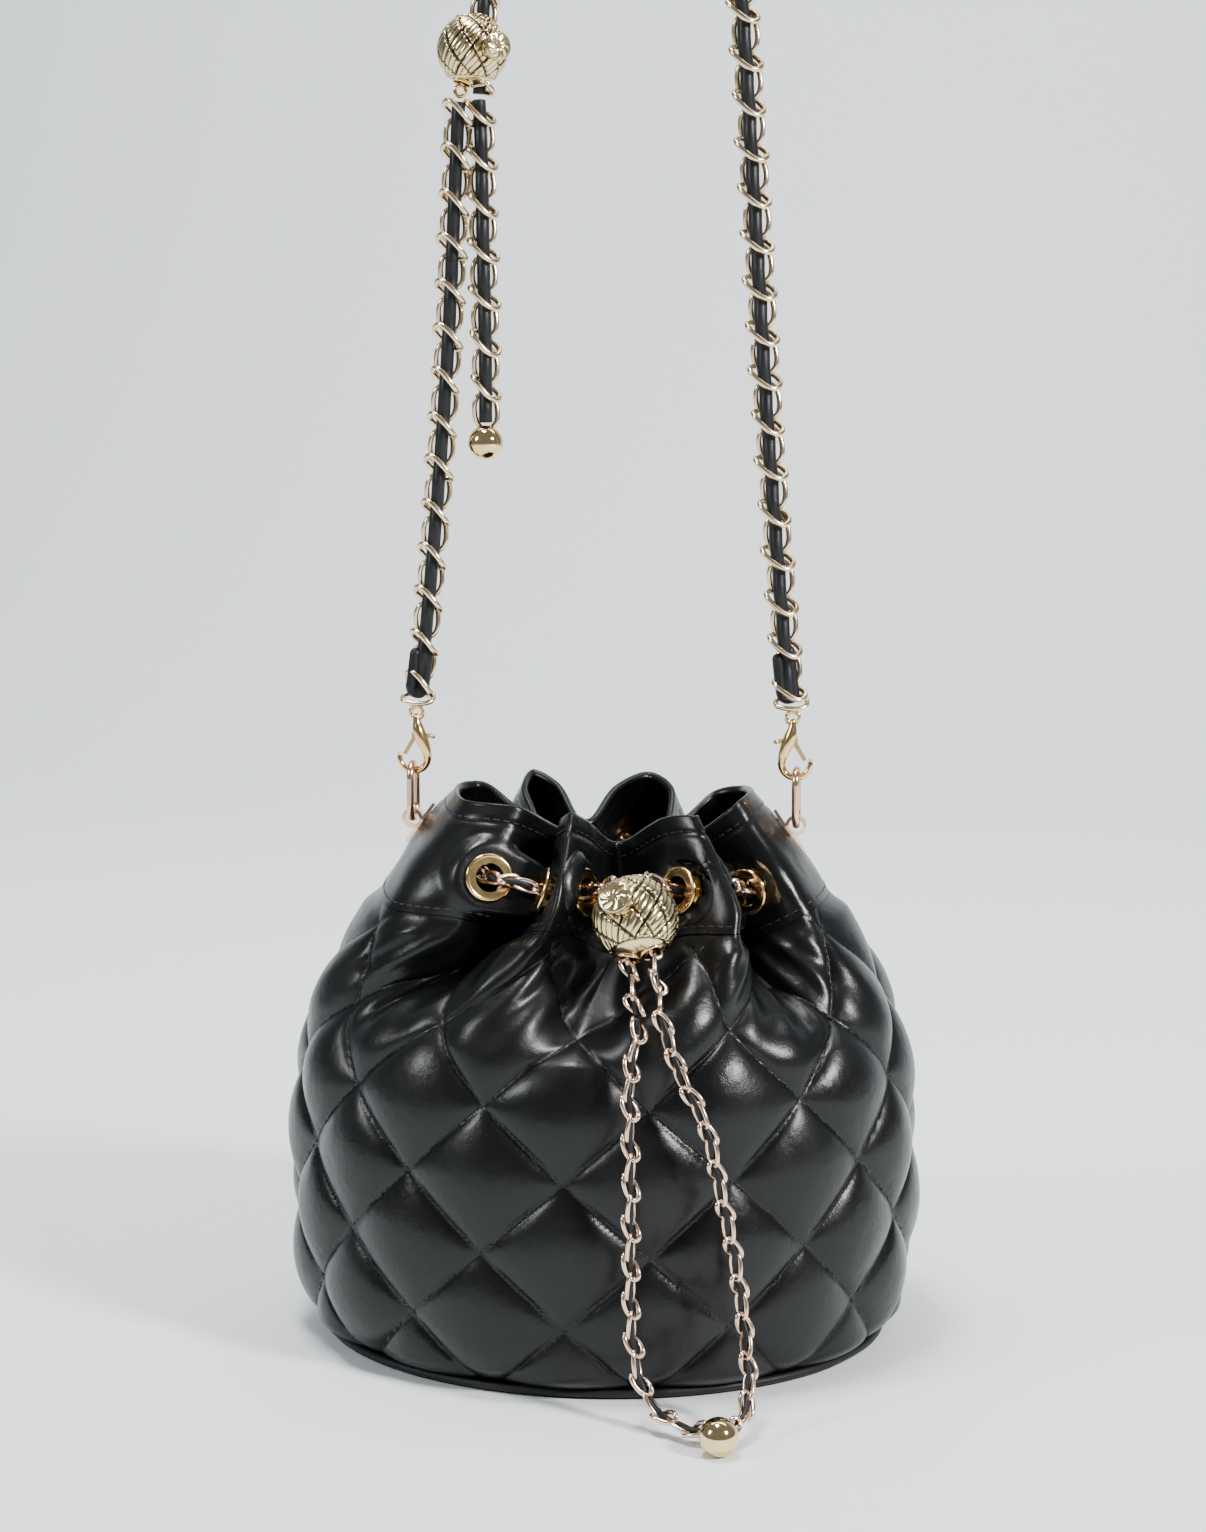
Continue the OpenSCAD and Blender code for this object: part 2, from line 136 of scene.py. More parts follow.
# ---------------------------------------------------------------- materials
def new_material(name):
    m = bpy.data.materials.new(name)
    m.use_nodes = True
    nt = m.node_tree
    return m, nt, nt.nodes["Principled BSDF"]


def node(nt, kind, **values):
    n = nt.nodes.new(kind)
    for key, value in values.items():
        if key in n.inputs:
            n.inputs[key].default_value = value
        else:
            setattr(n, key, value)
    return n


def coords(nt, scale=(1, 1, 1)):
    tc = nt.nodes.new("ShaderNodeTexCoord")
    mp = nt.nodes.new("ShaderNodeMapping")
    mp.inputs["Scale"].default_value = scale
    nt.links.new(tc.outputs["Object"], mp.inputs["Vector"])
    return mp.outputs["Vector"]


def noise(nt, vec, scale, detail, rough):
    n = nt.nodes.new("ShaderNodeTexNoise")
    n.inputs["Scale"].default_value = scale
    n.inputs["Detail"].default_value = detail
    n.inputs["Roughness"].default_value = rough
    nt.links.new(vec, n.inputs["Vector"])
    return n.outputs["Fac"]


def ramp(nt, fac, a, b, lo=0.35, hi=0.65):
    r = nt.nodes.new("ShaderNodeMapRange")
    r.inputs["From Min"].default_value = lo
    r.inputs["From Max"].default_value = hi
    r.inputs["To Min"].default_value = a
    r.inputs["To Max"].default_value = b
    nt.links.new(fac, r.inputs["Value"])
    return r.outputs["Result"]


def bump(nt, height, strength, distance, normal=None):
    b = nt.nodes.new("ShaderNodeBump")
    b.inputs["Strength"].default_value = strength
    b.inputs["Distance"].default_value = distance
    nt.links.new(height, b.inputs["Height"])
    if normal:
        nt.links.new(normal, b.inputs["Normal"])
    return b.outputs["Normal"]


def leather(name, base, rough_lo, rough_hi, grain=0.18, crease=0.35, coat=0.25):
    """Smooth coated leather: fine grain, soft creases, gloss that varies from place to place."""
    m, nt, p = new_material(name)
    v = coords(nt)
    p.inputs["Base Color"].default_value = (*base, 1)
    big = noise(nt, v, 38, 3, 0.55)
    nt.links.new(ramp(nt, big, rough_lo, rough_hi), p.inputs["Roughness"])
    mix = nt.nodes.new("ShaderNodeMix")
    mix.data_type = "RGBA"
    mix.inputs["A"].default_value = (*base, 1)
    mix.inputs["B"].default_value = (*[c * 1.7 for c in base], 1)
    nt.links.new(big, mix.inputs["Factor"])
    nt.links.new(mix.outputs["Result"], p.inputs["Base Color"])
    vor = nt.nodes.new("ShaderNodeTexVoronoi")
    vor.feature = "DISTANCE_TO_EDGE"
    vor.inputs["Scale"].default_value = 1500
    nt.links.new(v, vor.inputs["Vector"])
    n1 = bump(nt, ramp(nt, vor.outputs["Distance"], 0, 1, 0, 0.25), grain, 0.00008)
    n2 = bump(nt, noise(nt, v, 130, 5, 0.55), crease, 0.0009, n1)
    n3 = bump(nt, noise(nt, v, 420, 3, 0.5), crease * 0.5, 0.0003, n2)
    nt.links.new(n3, p.inputs["Normal"])
    p.inputs["Specular IOR Level"].default_value = 0.24
    p.inputs["Coat Weight"].default_value = coat
    p.inputs["Coat Roughness"].default_value = 0.22
    return m


def metal(name, base, rough, wear=0.05):
    scale = 260
    m, nt, p = new_material(name)
    v = coords(nt)
    p.inputs["Metallic"].default_value = 1
    f = noise(nt, v, scale, 4, 0.6)
    mix = nt.nodes.new("ShaderNodeMix")
    mix.data_type = "RGBA"
    mix.inputs["A"].default_value = (*[c * 0.86 for c in base], 1)
    mix.inputs["B"].default_value = (*[min(1, c * 1.08) for c in base], 1)
    nt.links.new(f, mix.inputs["Factor"])
    nt.links.new(mix.outputs["Result"], p.inputs["Base Color"])
    nt.links.new(ramp(nt, f, rough, rough + wear), p.inputs["Roughness"])
    nt.links.new(bump(nt, noise(nt, v, scale * 3, 3, 0.5), 0.06, 0.0001), p.inputs["Normal"])
    return m


def plain(name, base, rough):
    m, _, p = new_material(name)
    p.inputs["Base Color"].default_value = (*base, 1)
    p.inputs["Roughness"].default_value = rough
    return m


QUILT = leather("quilted_leather", (0.0024, 0.0027, 0.0031), 0.24, 0.36, crease=0.36, coat=0.08)
SMOOTH = leather("collar_leather", (0.0024, 0.0027, 0.0031), 0.22, 0.33, crease=0.26, coat=0.10)
BASE = leather("base_leather", (0.007, 0.0074, 0.008), 0.42, 0.55, coat=0.0)
THONG = leather("thong_leather", (0.006, 0.0064, 0.0072), 0.36, 0.48, grain=0.3, coat=0.05)
THREAD = plain("thread", (0.006, 0.006, 0.007), 0.62)
YELLOW = metal("yellow_gold", (0.87, 0.60, 0.27), 0.12)
ROSE = metal("rose_gold", (0.86, 0.56, 0.38), 0.16)
PALE = metal("pale_gold", (0.86, 0.67, 0.44), 0.17)
WARM = metal("warm_gold", (0.84, 0.61, 0.46), 0.18)
LOCK = metal("lock_gold", (0.84, 0.66, 0.37), 0.14)
# painted shade: the lock gold is darkened to dark brown by the groove attribute, in the engraved grooves,
# fine lines and cap trenches
nt = LOCK.node_tree
p = nt.nodes["Principled BSDF"]
lit = p.inputs["Base Color"].links[0].from_socket
groove_shade_at = node(nt, "ShaderNodeAttribute", attribute_name="groove")
paint_groove_shade = nt.nodes.new("ShaderNodeMix")
paint_groove_shade.data_type = "RGBA"
nt.links.new(lit, paint_groove_shade.inputs["A"])
paint_groove_shade.inputs["B"].default_value = (0.035, 0.022, 0.010, 1)
nt.links.new(groove_shade_at.outputs["Fac"], paint_groove_shade.inputs["Factor"])
nt.links.new(paint_groove_shade.outputs["Result"], p.inputs["Base Color"])
BALL = metal("ball_gold", (0.89, 0.66, 0.34), 0.07, wear=0.03)
STEEL = metal("spring_steel", (0.55, 0.55, 0.56), 0.3)


def woven(name, base):
    m, nt, p = new_material(name)
    v = coords(nt)
    w = nt.nodes.new("ShaderNodeTexWave")
    w.inputs["Scale"].default_value = 900
    nt.links.new(v, w.inputs["Vector"])
    nt.links.new(bump(nt, w.outputs["Fac"], 0.4, 0.0002), p.inputs["Normal"])
    p.inputs["Base Color"].default_value = (*base, 1)
    p.inputs["Roughness"].default_value = 0.85
    p.inputs["Sheen Weight"].default_value = 0.2
    return m


LINING = woven("lining_cloth", (0.018, 0.018, 0.02))
CARD = plain("base_card", (0.03, 0.03, 0.03), 0.8)

# ------------------------------------------------- shape of the gathered cloth
# [length along the band, gathered x, gathered distance in front of the axis, extra height], mm
BAND = np.array([
    [0, 9, 20, -13], [18, 28, 39.5, -3.5], [36, 43.5, 47, -1.5], [54, 41, 33, -4],
    [72, 35, 8, -13], [90, 46, 17.5, -7], [114, 57.5, 20, 0], [139, 61.6, -1, 2],
    [164, 56, -23, 1], [188, 42, -31, -2], [206, 28, -20, -10], [224, 25, -40, -1.5],
    [242, 12, -53, 2], [260, -1, -39, -1.5], [278, -10, -17, -10], [296, -24, -38, -1],
    [314, -37, -45, 3], [332, -39, -29, -1], [350, -31, -9, -9], [368, -49, -16, 0],
    [392, -58, -12, 2], [417, -61, 3, 2], [442, -51, 37, 1], [466, -28, 42, -0.5],
    [484, -14, 20, -9], [502, -11.5, 42, -4], [520, -5, 55, -0.5], [538, 0.5, 43, -4]], float)
BAND_LEN = 556.0
BODY_HALF = (95.0, 82.0)
EYELET_AT = [23, 25, 27, 1, 3, 5, 9, 11, 13, 15, 17, 19]
# [height, width share, how far gathered, spread of the gathered outline]
BODY_LEVELS = np.array([
    [2.4, 0.905, 0, 1], [6, 0.94, 0, 1], [15, 0.97, 0, 1],
    [32, 0.993, 0, 1], [50, 1, 0, 1], [68, 0.995, 0, 1], [84, 0.978, 0, 1],
    [97, 0.952, 0.04, 1.3], [107, 0.92, 0.16, 1.3], [116, 0.885, 0.38, 1.25],
    [125, 0.845, 0.64, 1.18], [134, 0.80, 0.86, 1.11]])
COLLAR_LEVELS = np.array([
    [134.2, 0.80, 0.86, 1.11], [140, 0.77, 0.97, 1.06], [146, 0.75, 1, 1],
    [152, 0.7, 1, 0.92], [158, 0.7, 1, 0.84], [165, 0.7, 1, 0.75]])
EYELET_LEVEL = 2
RISE_FROM, RISE_TO = 97.0, 134.0


def cloth(iu, level):
    """Points of the gathered cloth at real band index iu, at rows [height, share, gathered, spread]."""
    g = level[..., 2]
    f = level[..., 1]
    round_at = BAND[:, 0] / BAND_LEN * 2 * np.pi
    ellipse = np.column_stack([BODY_HALF[0] * np.sin(round_at), -BODY_HALF[1] * np.cos(round_at)])
    full = catmull(ellipse, iu, True)
    drawn = catmull(np.column_stack([BAND[:, 1], -BAND[:, 2], BAND[:, 3]]), iu, True)
    x = (1 - g) * f * full[..., 0] + g * level[..., 3] * drawn[..., 0]
    y = (1 - g) * f * full[..., 1] + g * level[..., 3] * drawn[..., 1]
    rise = np.clip((level[..., 0] - RISE_FROM) / (RISE_TO - RISE_FROM), 0, 1) * drawn[..., 2]
    return np.stack([x, y, level[..., 0] + rise], -1)


def grid_normals(p):
    """Outward normals of a grid of points, closed in its second axis."""
    du = np.roll(p, -1, 1) - np.roll(p, 1, 1)
    dv = np.gradient(p, axis=0)
    n = np.cross(du, dv)
    return n / np.maximum(np.linalg.norm(n, axis=2), 1e-9)[..., None]


def grid_faces(rows, cols, flip=False):
    """Quads of a grid of points, closed in its second axis."""
    out = []
    for r in range(rows - 1):
        for c in range(cols):
            a = r * cols + c
            b = r * cols + (c + 1) % cols
            f = (a, b, b + cols, a + cols)
            out.append(f[::-1] if flip else f)
    return out


# ------------------------------------------------------------- quilted shell
QUILTS_ROUND = 12
QUILT_BASE_Z = 21.5
QUILT_RISE = 43.0
PUFF = 4.8
SHELL_INSET = 1.3
VALLEYS = (0, 72, 206, 278, 350, 484)


def around(cols):
    return np.linspace(0, len(BAND), cols, endpoint=False)


def band_length(iu):
    band = np.r_[BAND[:, 0], BAND_LEN]
    return np.interp(iu, np.arange(len(band)), band)


def quilt(u, z):
    """0 on a stitch line and 1 in the middle of a quilt."""
    v = (z - QUILT_BASE_Z) / QUILT_RISE
    return np.abs(np.sin(np.pi * (u + v)) * np.sin(np.pi * (u - v)))


def lumps(x, y, z, seed, scale):
    """A smooth random field in about -1 to 1, from a few sine waves."""
    rng = np.random.default_rng(seed)
    out = np.zeros(np.broadcast(x, y, z).shape)
    for _ in range(9):
        k = rng.normal(size=3) / scale
        out += np.sin(k[0] * x + k[1] * y + k[2] * z + rng.uniform(0, 6.28))
    return out / 4


def gathers(s, z):
    """Fine folds that fan down from each valley of the gathered collar."""
    out = np.zeros(np.broadcast(s, z).shape)
    drop = np.clip((136 - z) / 60, 0, 1)
    for k, v in enumerate(VALLEYS):
        d = (s - v + BAND_LEN / 2) % BAND_LEN - BAND_LEN / 2
        w = np.exp(-((d / (22 + 16 * drop)) ** 2)) * smoothstep(88, 122, z)
        fold = 2 * np.pi * d / (9.5 * (1 + 1.5 * drop))
        out += w * np.cos(fold + 0.9 * k + 0.02 * (z - 120) * (-1) ** k)
    return out


SHELL_ROWS, SHELL_COLS = 190, 840
levels = catmull(BODY_LEVELS, np.linspace(0, len(BODY_LEVELS) - 1, SHELL_ROWS), False)
iu = around(SHELL_COLS)
base = cloth(np.broadcast_to(iu, (SHELL_ROWS, SHELL_COLS)), np.repeat(levels[:, None], SHELL_COLS, 1))
nrm = grid_normals(base)
s_mm = band_length(iu)[None, :]
z_mm = levels[:, 0][:, None]
u_q = s_mm / BAND_LEN * QUILTS_ROUND
puff = quilt(u_q, z_mm) ** 0.45
gath = levels[:, 2][:, None]
wave = lumps(base[..., 0], base[..., 1], base[..., 2], 3, 16)
height = (-SHELL_INSET + PUFF * (1 - 0.3 * gath) * puff
          + 1.0 * gathers(s_mm, z_mm) + 0.35 * wave * puff)
tuck = smoothstep(9, 2.4, z_mm)
height = height * (1 - 0.75 * tuck) - 0.6 * tuck
height = np.maximum(height, -1.9)
close = smoothstep(128, 134, z_mm)
height = height * (1 - 0.8 * close) - 0.3 * close
shell_pts = base + nrm * height[..., None]
shell = link_mesh("quilted_skin", shell_pts.reshape(-1, 3) * MM, grid_faces(SHELL_ROWS, SHELL_COLS),
                  QUILT, "bag")
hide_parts("quilted_shell")


def shell_at(s, z):
    """Point and normal of the quilted skin at a length round it and a height, mm."""
    rows = np.interp(z, levels[:, 0], np.arange(SHELL_ROWS))
    cols = np.interp(s % BAND_LEN, np.r_[s_mm[0], BAND_LEN], np.arange(SHELL_COLS + 1))
    r = np.clip(np.round(rows).astype(int), 1, SHELL_ROWS - 2)
    c = np.round(cols).astype(int) % SHELL_COLS
    return shell_pts[r, c], nrm[r, c]


STITCH = 2.3


def stitches(name, points, normals, radius):
    """A short thread between each point and the next, lying on the surface."""
    sides = 6
    ring = [(math.cos(a * math.tau / sides), math.sin(a * math.tau / sides)) for a in range(sides)]
    prof = [(-0.5, 0.35), (-0.32, 0.95), (0.32, 0.95), (0.5, 0.35)]
    verts, faces = [], []
    for p, q, n in zip(points[:-1], points[1:], normals[:-1]):
        d = q - p
        gap = np.linalg.norm(d)
        if gap < 1e-6 or gap > 6 * STITCH:
            continue
        t = d / gap
        n = unit(n - (n @ t) * t)
        b = np.cross(t, n)
        c = (p + q) / 2 + n * radius * 0.5
        k0 = len(verts)
        for along, fat in prof:
            for cx, cy in ring:
                lift = -abs(along) * radius * 1.6
                verts.append(c + t * along * STITCH + n * (cx * radius * fat + lift)
                             + b * cy * radius * fat)
        for j in range(len(prof) - 1):
            for i in range(sides):
                a, e = k0 + j * sides + i, k0 + j * sides + (i + 1) % sides
                faces.append((a, e, e + sides, a + sides))
        faces.append(tuple(k0 + i for i in range(sides))[::-1])
        faces.append(tuple(k0 + (len(prof) - 1) * sides + i for i in range(sides)))
    link_mesh(name, np.array(verts) * MM, faces, THREAD, "bag")


# Stitch rows run both ways up the body, through the bottoms of the creases.
# A far point after each row keeps it from being joined to the next.
stitch_pts, stitch_nrm = [], []
for way in (1, -1):
    for line in range(QUILTS_ROUND):
        zs = np.arange(6, 133, 0.5)
        ss = (line + way * (zs - QUILT_BASE_Z) / QUILT_RISE) / QUILTS_ROUND * BAND_LEN
        p, n = shell_at(ss, zs)
        d = np.r_[0, np.cumsum(np.linalg.norm(np.diff(p, axis=0), axis=1))]
        at = np.searchsorted(d, np.arange(1, d[-1] - 1, 3.3))
        stitch_pts.append(p[at])
        stitch_nrm.append(n[at])
all_v, all_n = [], []
for p, n in zip(stitch_pts, stitch_nrm):
    all_v += list(p) + [np.array([1e4, 0, 0])]
    all_n += list(n) + [np.array([0, 0, 1.0])]
stitches("quilt_stitches", np.array(all_v), np.array(all_n), 0.32)

# --------------------------------------------------------------------- collar
COLLAR_COLS = 900
COLLAR_ROWS = 64
COLLAR_T = 2.5
COLLAR_HOLE_R = 5.6
ci = around(COLLAR_COLS)
clev = catmull(COLLAR_LEVELS, np.linspace(0, len(COLLAR_LEVELS) - 1, COLLAR_ROWS), False)
cgrid = cloth(np.broadcast_to(ci, (COLLAR_ROWS, COLLAR_COLS)), np.repeat(clev[:, None], COLLAR_COLS, 1))
cnrm = grid_normals(cgrid)


def eyelet_frame(i):
    """Centre and outward axis of the eyelet at band point i, as the solids place it."""
    def at(k, row):
        return cloth(np.array([float(k % len(BAND))]), COLLAR_LEVELS[row][None, :])[0]

    c = at(i, EYELET_LEVEL)
    along = at(i + 1, EYELET_LEVEL) - at(i - 1, EYELET_LEVEL)
    along[2] = 0
    up = at(i, 3) - at(i, 1)
    return c, unit(np.cross(unit(along), unit(up)))


EYELETS = [eyelet_frame(i) for i in EYELET_AT]
crumple = 0.35 * lumps(cgrid[..., 0], cgrid[..., 1], cgrid[..., 2], 11, 7)
crumple *= smoothstep(0, 6, clev[:, 0] - clev[0, 0])[:, None]
edge_z = clev[:, 0][:, None]
hem = -0.35 * np.exp(-(((edge_z - 160.8) / 0.8) ** 2))
outer = cgrid + cnrm * (crumple + hem)[..., None]
for c, a in EYELETS:
    d = outer - c
    along = d @ a
    flat = np.linalg.norm(d - along[..., None] * a, axis=2)
    near = 1 - smoothstep(9, 14, flat)
    near *= 1 - smoothstep(9, 14, np.abs(along))
    outer = outer - (near * along)[..., None] * a
# the leather stands out a little to meet each side bridge
BRIDGE_BACK_X = 55.4
BRIDGE_Z = 157.0
BULGE = 1.0
for side in (-1, 1):
    d = np.linalg.norm(outer - np.array([side * BRIDGE_BACK_X, 0, BRIDGE_Z]), axis=2)
    outer = outer + (BULGE * (1 - smoothstep(5, 15, d)))[..., None] * cnrm
onrm = grid_normals(outer)
inner = outer - onrm * COLLAR_T
top_o, top_i = outer[-1], inner[-1]
mid = (top_o + top_i) / 2
half = (top_o - top_i) / 2
UPWARDS = np.array([0, 0, 1.0])
rim = []
for k in range(1, 6):
    ang = math.pi * k / 6
    rim.append(mid + half * math.cos(ang) + UPWARDS * (COLLAR_T / 2) * math.sin(ang))
rows = np.concatenate([outer, np.array(rim), inner[::-1]])
faces = grid_faces(len(rows), COLLAR_COLS)
flatv = rows.reshape(-1, 3)
holes = np.zeros(len(flatv), bool)
for c, a in EYELETS:
    d = flatv - c
    along = d @ a
    r = np.linalg.norm(d - np.outer(along, a), axis=1)
    holes |= (r < COLLAR_HOLE_R) & (np.abs(along) < 5)
faces = [f for f in faces if not holes[list(f)].any()]
collar = link_mesh("gathered_collar", flatv * MM, faces, SMOOTH, "bag")
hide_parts("collar_band", "collar_facing")

# topstitching just under the collar's edge, and along its seam
for stitch_name, stitch_z in (("edge_stitches", 161.6), ("seam_stitches", 136.2)):
    row = int(np.argmin(np.abs(clev[:, 0] - stitch_z)))
    d = np.r_[0, np.cumsum(np.linalg.norm(np.diff(outer[row], axis=0), axis=1))]
    at = np.searchsorted(d, np.arange(0, d[-1], 3.2))
    stitches(stitch_name, outer[row][at], onrm[row][at], 0.26)


def ring_faces(rings, sides):
    """Faces of a tube closed on itself."""
    return [(i * sides + j, i * sides + (j + 1) % sides, (i + 1) % rings * sides + (j + 1) % sides,
             (i + 1) % rings * sides + j) for i in range(rings) for j in range(sides)]


def closed_tube(name, path, radius, material, body):
    sides = 10
    p = np.asarray(path, float)
    t = np.roll(p, -1, 0) - np.roll(p, 1, 0)
    t /= np.linalg.norm(t, axis=1)[:, None]
    n = np.cross(t, [0, 0, 1.0])
    n /= np.linalg.norm(n, axis=1)[:, None]
    b = np.cross(t, n)
    ang = np.arange(sides) * math.tau / sides
    v = p[:, None] + radius * (np.cos(ang)[None, :, None] * n[:, None]
                               + np.sin(ang)[None, :, None] * b[:, None])
    k = len(p)
    link_mesh(name, v.reshape(-1, 3) * MM, ring_faces(k, sides), material, body)


welt_level = np.array([1.9, 0.912, 0, 1.0])
welt_path = cloth(around(360), np.repeat(welt_level[None], 360, 0))
closed_tube("base_welt", welt_path, 1.15, BASE, "bag")

# ------------------------------------------------------------------- chains
def link_template(length, width, wire, twist):
    """One oval link along Z, twisted by twist radians from its middle to each end."""
    around_n = 26
    sides = 8
    ph = np.arange(around_n) * math.tau / around_n
    c, s = np.cos(ph), np.sin(ph)
    x = (width - wire) / 2 * np.sign(c) * np.abs(c) ** 0.75
    z = (length - wire) / 2 * np.sign(s) * np.abs(s) ** 0.9
    tw = twist * z / (length / 2)
    line = np.column_stack([x * np.cos(tw), x * np.sin(tw), z])
    t = np.roll(line, -1, 0) - np.roll(line, 1, 0)
    t /= np.linalg.norm(t, axis=1)[:, None]
    flat = np.column_stack([-np.sin(tw), np.cos(tw), np.zeros(around_n)])
    n = flat - (flat * t).sum(1)[:, None] * t
    n /= np.linalg.norm(n, axis=1)[:, None]
    b = np.cross(t, n)
    ang = np.arange(sides) * math.tau / sides
    v = line[:, None] + wire / 2 * (np.cos(ang)[None, :, None] * n[:, None]
                                    + np.sin(ang)[None, :, None] * b[:, None])
    return v.reshape(-1, 3), ring_faces(around_n, sides)


def chain(name, path, body, pitch, kinds, material, seed, up):
    """Linked ovals along a path, of two kinds by turns.

    Each kind is [length, width, wire, twist, roll, tilt, back].
    """
    p, total = resample(path, 0.5)
    t, n, b = curve_frames(p, up)
    rng = random.Random(seed)
    shapes = [link_template(k[0], k[1], k[2], math.radians(k[3])) for k in kinds]
    count = max(1, int(round(total / pitch)))
    verts, faces = [], []
    placed = 0
    for k in range(count):
        at = (k + 0.5) * total / count
        i = min(len(p) - 1, int(round(at / total * (len(p) - 1))))
        shape, quad = shapes[k % 2]
        roll, tilt, back = kinds[k % 2][4:7]
        a = math.radians(roll) + rng.uniform(-0.10, 0.10)
        lean = math.radians(tilt) + rng.uniform(-0.06, 0.06)
        ez = math.cos(lean) * t[i] - math.sin(lean) * b[i]
        side = math.cos(lean) * b[i] + math.sin(lean) * t[i]
        ex = math.cos(a) * n[i] + math.sin(a) * side
        ey = np.cross(ez, ex)
        v = shape[:, :1] * ex + shape[:, 1:2] * ey + shape[:, 2:] * ez
        v = v + p[i] - back * n[i]
        verts.append(v)
        faces += [tuple(placed + q for q in f) for f in quad]
        placed += len(v)
    return link_mesh(name, np.concatenate(verts) * MM, faces, material, body)


def taper_tube(name, path, radii, material, body, flat=1.0, wide=(0, 1.0, 0), sides=16):
    """A tube of changing radius with round ends, stretched by flat along the direction wide."""
    p = np.asarray(path, float)
    r = np.asarray(radii, float)
    t = np.gradient(p, axis=0)
    t /= np.linalg.norm(t, axis=1)[:, None]
    w = np.broadcast_to(np.asarray(wide, float), p.shape)
    w = w - (w * t).sum(1)[:, None] * t
    w /= np.linalg.norm(w, axis=1)[:, None]
    u = np.cross(t, w)
    caps = [(0.5, 0.86), (0.87, 0.5), (1.0, 0.06)]
    rows = [(p[0] - t[0] * r[0] * s, r[0] * c, 0) for s, c in caps[::-1]]
    rows += [(q, rr, k) for k, (q, rr) in enumerate(zip(p, r))]
    rows += [(p[-1] + t[-1] * r[-1] * s, r[-1] * c, len(p) - 1) for s, c in caps]
    ang = np.arange(sides) * math.tau / sides
    verts = [c + rr * (flat * math.cos(q) * w[k] + math.sin(q) * u[k]) for c, rr, k in rows for q in ang]
    faces = grid_faces(len(rows), sides)
    faces += [tuple(range(sides))[::-1], tuple((len(rows) - 1) * sides + i for i in range(sides))]
    return link_mesh(name, np.array(verts) * MM, faces, material, body)


def thong(name, path, body, diameter, up, wave, period):
    """A leather thong as a bevelled curve, woven to and fro through its chain.

    Returns it with its length in mm.
    """
    p, total = resample(path, 0.8)
    _, n, _ = curve_frames(p, up)
    s = np.linspace(0, total, len(p))
    fade = smoothstep(0, 4, s) * smoothstep(0, 4, total - s)
    off = wave * fade * np.cos(math.tau * s / period + 0.6)
    p = p + off[:, None] * n
    cu = bpy.data.curves.new(name, "CURVE")
    cu.dimensions = "3D"
    cu.bevel_depth = diameter / 2 * MM
    cu.bevel_resolution = 3
    cu.use_fill_caps = True
    sp = cu.splines.new("POLY")
    sp.points.add(len(p) - 1)
    for q, co in zip(sp.points, p * MM):
        q.co = (*co, 1)
    ob = bpy.data.objects.new(name, cu)
    bpy.context.scene.collection.objects.link(ob)
    cu.materials.append(THONG)
    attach(ob, body)
    return ob, float(np.linalg.norm(np.diff(p, axis=0), axis=1).sum())


def smooth_path(points, sub=8):
    pts = np.asarray(points, float)
    return catmull(pts, np.linspace(0, len(pts) - 1, (len(pts) - 1) * sub + 1), False)


# ------------------------------------------------------------- cord routes, mm
LOCK_AT = np.array([18.0, -62, 138])
LOCK_DOWN = unit([0.2, -0.54, -0.82])
LOCK_FACE = unit([-0.21, -0.87, 0.45])
LOCK_Y = -unit(LOCK_FACE - (LOCK_FACE @ LOCK_DOWN) * LOCK_DOWN)
LOCK_X = np.cross(LOCK_Y, -LOCK_DOWN)
STRAND_X = 3.6
STRAND_HOLE_R = 3.05
BUTTON_HOLE_R = 3.4
BALL_R = 12.4
LOCK_CLEAR = 13.5
STRAIGHT_TO = 29.0
SEEN = 1 if LOCK_X[0] > 0 else -1


def through(k, way):
    c, a = EYELETS[EYELET_AT.index(k)]
    return [c - way * 5.2 * a, c + way * 3.8 * a]


def at_lock(side, down):
    return LOCK_AT + side * STRAND_X * LOCK_X + down * LOCK_DOWN


collar_path = [at_lock(-SEEN, d) for d in (STRAIGHT_TO, STRAIGHT_TO - 2, LOCK_CLEAR, -LOCK_CLEAR)]
for k, e in enumerate((27, 25, 23, 19, 17, 15, 13, 11, 9, 5, 3, 1)):
    collar_path += through(e, -1 if k % 2 == 0 else 1)
collar_path += [at_lock(SEEN, d) for d in (-LOCK_CLEAR, LOCK_CLEAR, STRAIGHT_TO - 2, STRAIGHT_TO)]
loop_path = [at_lock(-SEEN, STRAIGHT_TO + d) for d in (1.4, 4)]
loop_path += [[19.5, -85, 98], [20, -89, 84], [20.5, -91, 64], [20.5, -91.5, 44],
              [21, -92, 27], [24, -95, 13], [30, -99, 6], [38, -104, 4], [47, -108, 5], [51, -106, 5.5],
              [53, -101, 7], [54, -94, 12], [52.5, -87.5, 24], [49.5, -85, 44],
              [45.5, -86, 64], [41, -86.5, 84], [33.5, -83.5, 98]]
loop_path += [at_lock(SEEN, STRAIGHT_TO + d) for d in (4, 1.4)]
short_path = smooth_path([[-57.6, 0, 195], [-55.6, 0, 210], [-51.6, 0, 250], [-47.6, 0, 300],
                          [-45.2, 0, 345], [-44, 0, 369], [-43.6, 0, 374]])
long_path = smooth_path([[-37.8, 2, 376.4], [-37, 2, 389], [-36, 2, 405], [-32.6, 1.4, 422],
                         [-24.6, 0.6, 437],
                         [-12, 0, 446], [1, 0, 449], [15, 0, 446], [28, 0, 438], [37, 0, 424],
                         [41, 0, 404], [45.6, 0, 340], [50, 0, 275], [55.6, 0, 210], [57.6, 0, 195]])
tail_path = smooth_path([[-37.9, 2, 374.6], [-37.2, 1.6, 360], [-36.6, 0.6, 330], [-36, 0, 300],
                         [-36, 0, 278.6]])
ADJUSTER_AT = np.array([-39.4, 0, 389])
ADJUSTER_UP = unit([0.06, 0, 1])
ADJUSTER_Y = unit([-0.62, 0.72, -0.12])
ADJUSTER_SCALE = 0.86

FRONT = (0.14, -1.0, 0.0)


